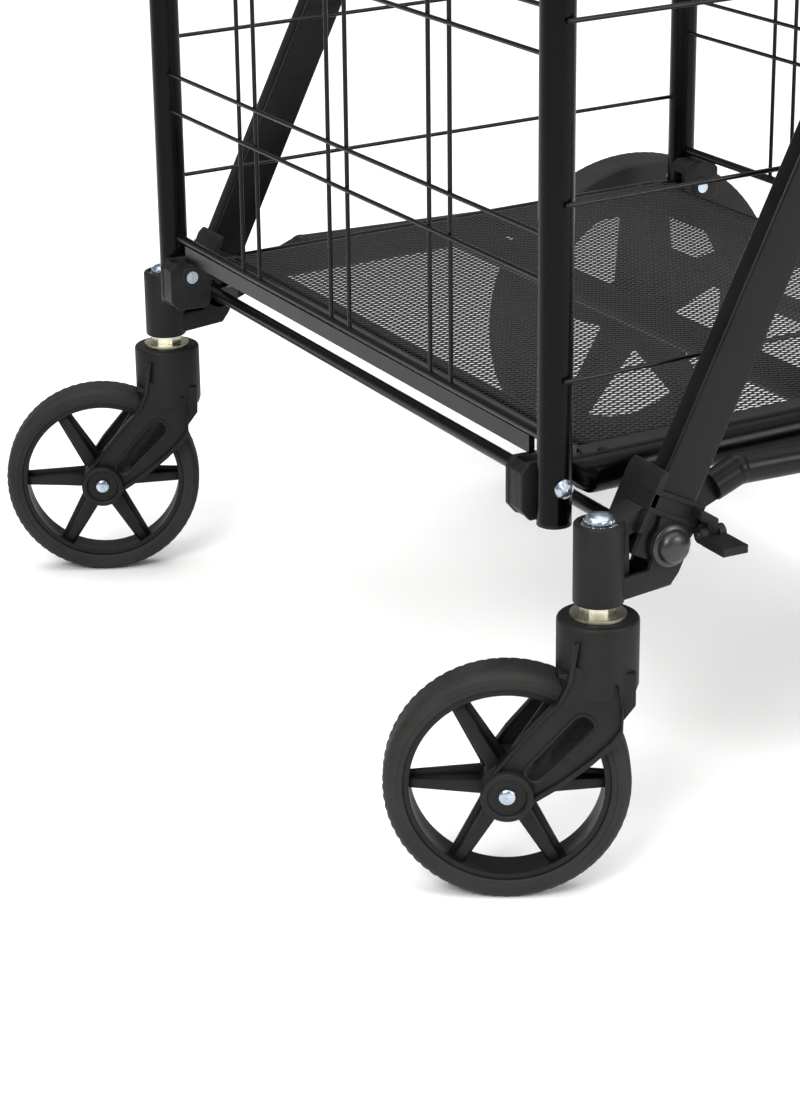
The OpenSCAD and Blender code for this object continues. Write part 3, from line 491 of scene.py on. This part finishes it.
def bracket(side):
    """The moulding that carries a caster: sleeve, arm, plate, cheeks, the pedal's ear and the leg collar."""
    hand = 1 if side == "right" else -1
    swivel = joint_pos(side + "_caster_swivel") / MM
    base, top = swivel.z + SLEEVE_FOOT, swivel.z + SLEEVE_HEAD
    bolt_y, bolt_z = 42, base + 31
    front_face = LEG_DEEP / 2 / math.cos(LEG_LEAN)

    def leg_y(z):
        return 35 + (z - bolt_z) * math.tan(LEG_LEAN)

    def plate_y(z):
        return leg_y(z) - front_face - 4

    bm = bmesh.new()
    lathe(bm, [(6.1, base), (14.4, base), (15.3, base + 0.9), (15.3, top - 1.6), (14.9, top - 0.6),
               (14.0, top), (12.2, top), (11.5, top - 0.7), (11.5, top - 3), (6.1, top - 3)], 64, "Z")
    # rib down the sleeve, where the mould halves meet
    slab(bm, [(11, base + 2), (16.6, base + 3), (17.2, base + 24), (16.2, top - 2), (11, top - 1)], 3, 6.4)
    # lower arm in two cheeks with a floor between them
    arm = [(8, base + 2), (43, base + 5.6), (48.5, base + 12.6), (54.5, bolt_z - 6), (32, bolt_z - 2),
           (28, base + 17.5), (8, base + 15.5)]
    for x0, x1 in ((-11, -7.6), (7.6, 11)):
        slab(bm, arm, x0, x1)
    slab(bm, [(8, base + 2.6), (43, base + 6.2), (48, base + 13), (44, base + 14), (38, base + 10.6),
              (8, base + 7)], -9, 9)
    for x0, x1 in ((-11, -7.6), (7.6, 11.4)):
        disc(bm, 13.6, x0, x1, bolt_y, bolt_z, 40)
    # web up from the sleeve and the plate over the leg's front face, its top corners rounded
    slab(bm, [(7, top - 13), (7, top - 1.2), (13, top + 0.5), (plate_y(top + 6) + 2, top + 7),
              (plate_y(top - 8) + 3, top - 8)], -12, 6)
    z0, z1 = top - 8, top + 26
    slab(bm, [(plate_y(z0), z0), (plate_y(z0) + 5, z0), (plate_y(z1) + 5, z1), (plate_y(z1) + 2.6, z1 + 1),
              (plate_y(z1 - 3), z1 - 2.4)], -24.5, 11)
    disc(bm, 7.5, -22, 0, 24, bolt_z + 8, 28)
    # cheek between boss and collar, and the pedal's ear
    cheek = [(33, bolt_z + 8), (52, bolt_z - 4), (65, bolt_z + 12), (64, bolt_z + 20), (38, bolt_z + 28)]
    for x0, x1 in ((-11, -7.6), (7.6, 10.6)):
        slab(bm, cheek, x0, x1)
    ear_y, ear_z = 66, bolt_z + 5
    slab(bm, [(ear_y - 3.6, ear_z - 4.4), (ear_y + 3.6, ear_z - 4.4), (ear_y + 3.6, ear_z + 9.5),
              (ear_y - 8.6, ear_z + 16.6), (ear_y - 8.6, ear_z + 10), (ear_y - 3.6, ear_z + 7.5)], 5, 20)
    # collar round the leg: a thin band between two raised ribs
    for shift, thick, grow in ((0, 14, 3.5), (-5, 3.4, 4.2), (5, 3.4, 4.2)):
        collar_z = bolt_z + 22 + shift
        leg_slice(bm, leg_y(collar_z), collar_z, thick, grow)
    to_piece(bm, side + "_bracket_moulding", "frame", [side + "_bracket"], MOULDED_NYLON,
             Matrix.Translation((swivel.x, swivel.y, 0)) @ Matrix.Diagonal((hand, 1, 1, 1)), bevel=0.8,
             bevel_segments=3)


bracket("left")
bracket("right")

# ---- caster axle screws: domed heads with the faint mark of a cross, and spacers beside the hub ----
for side in ("left", "right"):
    bm = bmesh.new()
    lathe(bm, [(ON_AXIS, -28), (4, -28), (4, 28), (ON_AXIS, 28)], 32)
    for out in (1, -1):
        head = bmesh.new()
        lathe(head, [(ON_AXIS, 26.4), (5.4, 26.4), (5.4, 27.4), (4.9, 28.2), (3.7, 28.8),
                     (ON_AXIS, 28.95)], 40)
        for turn in (20, 110):
            block(head, (28.9, -2.3, -0.45), (29.0, 2.3, 0.45), Matrix.Rotation(math.radians(turn), 4, "X"))
        head.transform(Matrix.Rotation(0 if out > 0 else math.pi, 4, "Z"))
        merge(bm, head)
        lathe(bm, [(4.06, out * 17.4), (6.4, out * 17.4), (6.4, out * 18.5), (4.06, out * 18.5)], 32)
    to_piece(bm, side + "_caster_axle_screw", side + "_caster", [side + "_caster_axle"], BRIGHT_ZINC,
             wheel_matrix(side + "_caster_spin"))


# ---- deck rim tubes with pressed ends ----
RING_STEPS = 32


def ring_of(bm, y, centre_x, centre_z, half_x, half_z, power):
    """A ring across Y: round at power 1, squarer as the power drops."""
    made = []
    for k in range(RING_STEPS):
        a = 2 * math.pi * k / RING_STEPS
        c, d = math.cos(a), math.sin(a)
        made.append(bm.verts.new((centre_x + half_x * math.copysign(abs(c) ** power, c), y,
                                  centre_z + half_z * math.copysign(abs(d) ** power, d))))
    return made


RAIL_X, RAIL_R, RAIL_DROP, TONGUE_X, DECK_LENGTH = 264, 12, 5, 259.5, 450
BACK_TAPER = (410, 414)  # where the back end begins to narrow
for side, hand in (("left", -1), ("right", 1)):
    bm = bmesh.new()
    # each ring: place along the deck, centre across and up, half width, half height, roundness
    spans = [(-6.2, TONGUE_X, 0, 4.8, 3.2, 0.5), (-4.6, TONGUE_X, 0, 5, 5.0, 0.5),
             (0, TONGUE_X, 0, 5, 6.4, 0.45), (4, TONGUE_X, 0, 5, 5.6, 0.4), (17, TONGUE_X, 0, 5, 5.5, 0.4),
             (21, 260.4, -1, 6.6, 6.8, 0.55), (26, 262.6, -3.6, 9.8, 9.8, 0.8),
             (31, RAIL_X, -RAIL_DROP, 11.6, 11.6, 1), (34, RAIL_X, -RAIL_DROP, RAIL_R, RAIL_R, 1)]
    back_spans = [(BACK_TAPER[0], RAIL_X, -RAIL_DROP, RAIL_R, RAIL_R, 1),
                  (BACK_TAPER[1], RAIL_X, -RAIL_DROP, 11.6, 11.6, 1)]
    back_spans += [(DECK_LENGTH - y, *rest) for y, *rest in spans[-3::-1]]
    rings = [ring_of(bm, y, hand * x, z, a, b, power) for y, x, z, a, b, power in spans + back_spans]
    for one, two in zip(rings, rings[1:]):
        for k in range(RING_STEPS):
            after = (k + 1) % RING_STEPS
            bm.faces.new((one[k], one[after], two[after], two[k]))
    bm.faces.new(rings[0])
    bm.faces.new(rings[-1])
    to_piece(bm, side + "_deck_rail_tube", "deck", [side + "_deck_rail"], TUBE_ENAMEL,
             ON_DECK)


# ---- handle grip with rounded ends and ring grooves ----
low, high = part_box("handle_grip")
centre, half, outer = (low + high) / 2 / MM, (high.x - low.x) / 2 / MM, (high.z - low.z) / 2 / MM
GRIP_BORE = 11.1  # radius of the hole the handle tube fills
GROOVES, FIRST_GROOVE, GROOVE_APART, GROOVE_DEEP = 5, 12, 5, 0.8
profile = [(GRIP_BORE, -half), (outer - 2.4, -half), (outer - 0.7, -half + 0.8), (outer, -half + 2.6)]
for end in (-1, 1):
    for k in range(GROOVES):
        x = (-half + FIRST_GROOVE + GROOVE_APART * k if end < 0
             else half - FIRST_GROOVE - GROOVE_APART * (GROOVES - 1 - k))
        profile += [(outer, x - 1.2), (outer - GROOVE_DEEP, x - 0.6), (outer - GROOVE_DEEP, x + 0.6),
                    (outer, x + 1.2)]
profile += [(outer, half - 2.6), (outer - 0.7, half - 0.8), (outer - 2.4, half), (GRIP_BORE, half)]
bm = bmesh.new()
lathe(bm, profile, 48)
to_piece(bm, "handle_grip_sleeve", "frame", ["handle_grip"], GRIP_FOAM,
         Matrix.Translation(centre))

# ---- stem bolt heads: a toothed flange washer under a domed head ----
STEM_FOOT = 33.9                    # the bolt's end below the swivel's joint point
STEM_STEPS, TOOTH_SHARE = 36, 0.93  # every other point of the head's edge is drawn in to this share
for side in ("left", "right"):
    swivel = joint_pos(side + "_caster_swivel") / MM
    foot, top = swivel.z - STEM_FOOT, swivel.z + SLEEVE_HEAD
    bm = bmesh.new()
    lathe(bm, [(ON_AXIS, foot), (6, foot), (6, top - 2.9), (11, top - 2.9), (11, top - 1.4),
               (9.4, top - 1.2), (9.4, top + 1.6), (8.8, top + 2.6), (7.2, top + 3.7), (4.4, top + 4.7),
               (ON_AXIS, top + 5.3)], STEM_STEPS, "Z")
    for vert in bm.verts:
        radius = math.hypot(vert.co.x, vert.co.y)
        turn = round(math.atan2(vert.co.y, vert.co.x) / (2 * math.pi) * STEM_STEPS)
        if 8.7 < radius < 9.6 and turn % 2:
            vert.co.x *= TOOTH_SHARE
            vert.co.y *= TOOTH_SHARE
    to_piece(bm, side + "_stem_bolt", "frame", ["stem_bolts"], BRIGHT_ZINC,
             Matrix.Translation((swivel.x, swivel.y, 0)))

# ---- pivot bolt caps: a smooth dome on a flat flange ----
low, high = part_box("dome_bolts")
bolt = (low + high) / 2 / MM
reach = high.x / MM
INNER_X, INNER_END = 293.1, 298.1  # the collar at the bolt's inner end, from X to X
cap = [(ON_AXIS, reach - 9.7), (13, reach - 9.7), (13, reach - 7.9), (12.2, reach - 7.1), (10.6, reach - 6.6),
       (10.2, reach - 4.6), (9.0, reach - 2.6), (6.6, reach - 1.1), (3.4, reach - 0.3), (ON_AXIS, reach)]
shank = [(ON_AXIS, INNER_X), (8, INNER_X), (8, INNER_END), (4, INNER_END), (4, reach - 9.6),
         (ON_AXIS, reach - 9.6)]
bm = bmesh.new()
for hand in (1, -1):
    for part in (cap, shank):
        lathe(bm, [(r, hand * x) for r, x in part], 48)
to_piece(bm, "pivot_bolt_caps", "frame", ["dome_bolts"], CAP_NYLON,
         Matrix.Translation((0, bolt.y, bolt.z)))

# ---- camera, light and floor ----
LENS_PITCH, LENS_AZIMUTH, LENS_ROLL = math.radians(20.74), math.radians(62.58), math.radians(-0.71)
LENS_LENGTH, SENSOR_WIDTH = 94.09, 36
LENS_PLACE = Vector((1648.4, -820.1, 813.8))  # in mm, its Y measured from the caster swivel line
SWIVEL_LINE = joint_pos("right_caster_swivel")
back = Vector((math.sin(LENS_AZIMUTH) * math.cos(LENS_PITCH), -math.cos(LENS_AZIMUTH) * math.cos(LENS_PITCH),
               math.sin(LENS_PITCH)))
right = Vector((math.cos(LENS_AZIMUTH), math.sin(LENS_AZIMUTH), 0))
up = back.cross(right)
right_rolled = right * math.cos(LENS_ROLL) + up * math.sin(LENS_ROLL)
up_rolled = up * math.cos(LENS_ROLL) - right * math.sin(LENS_ROLL)
camera = bpy.data.objects.new("camera", bpy.data.cameras.new("camera"))
bpy.context.collection.objects.link(camera)
camera.data.lens = LENS_LENGTH
camera.data.sensor_width = SENSOR_WIDTH
camera.data.clip_end = 50
place = LENS_PLACE * MM + Vector((0, SWIVEL_LINE.y, 0))
facing = Matrix((right_rolled, up_rolled, back)).transposed().to_4x4()
camera.matrix_world = Matrix.Translation(place) @ facing
bpy.context.scene.camera = camera

floor_mesh = bpy.data.meshes.new("studio_floor")
bm = bmesh.new()
bmesh.ops.create_grid(bm, x_segments=1, y_segments=1, size=12)
bm.to_mesh(floor_mesh)
bm.free()
floor = bpy.data.objects.new("studio_floor", floor_mesh)
bpy.context.collection.objects.link(floor)
# Matt white paper roll.
STUDIO_PAPER, _, _ = finish("plain white studio floor", Base_Color=linear("#f7f7f6"), Roughness=0.8)
floor.data.materials.append(STUDIO_PAPER)

world = bpy.data.worlds.new("studio")
world.use_nodes = True
backdrop = world.node_tree.nodes["Background"]
backdrop.inputs[0].default_value = (1, 1, 1, 1)
# the camera sees a white backdrop, while the object is lit by a dimmer room
ROOM_LEVEL, BACKDROP_LEVEL = 0.34, 1.0
seen = add(world, "ShaderNodeLightPath")
level = add(world, "ShaderNodeMapRange", {"To Min": ROOM_LEVEL, "To Max": BACKDROP_LEVEL},
            {"Value": seen.outputs["Is Camera Ray"]})
world.node_tree.links.new(level.outputs["Result"], backdrop.inputs[1])
bpy.context.scene.world = world
bpy.context.scene.view_settings.view_transform = "Standard"


def area_light(name, where, aim, size, power):
    """A square softbox, its place and size in metres and its power in watts."""
    data = bpy.data.lights.new(name, "AREA")
    data.size, data.energy = size, power
    lamp = bpy.data.objects.new(name, data)
    bpy.context.collection.objects.link(lamp)
    lamp.location = where
    lamp.rotation_euler = (Vector(aim) - Vector(where)).to_track_quat("-Z", "Y").to_euler()


area_light("key_softbox", (2.2, -2.6, 2.6), (0, 0, 0.3), 1.4, 110)
area_light("side_softbox", (3.0, 1.4, 1.6), (0, 0, 0.3), 1.2, 60)
# a broad overhead light keeps the floor evenly white
OVERHEAD_STRENGTH, OVERHEAD_SPREAD = 2.9, math.radians(80)
overhead = bpy.data.lights.new("overhead", "SUN")
overhead.energy, overhead.angle = OVERHEAD_STRENGTH, OVERHEAD_SPREAD
overhead_lamp = bpy.data.objects.new("overhead", overhead)
bpy.context.collection.objects.link(overhead_lamp)
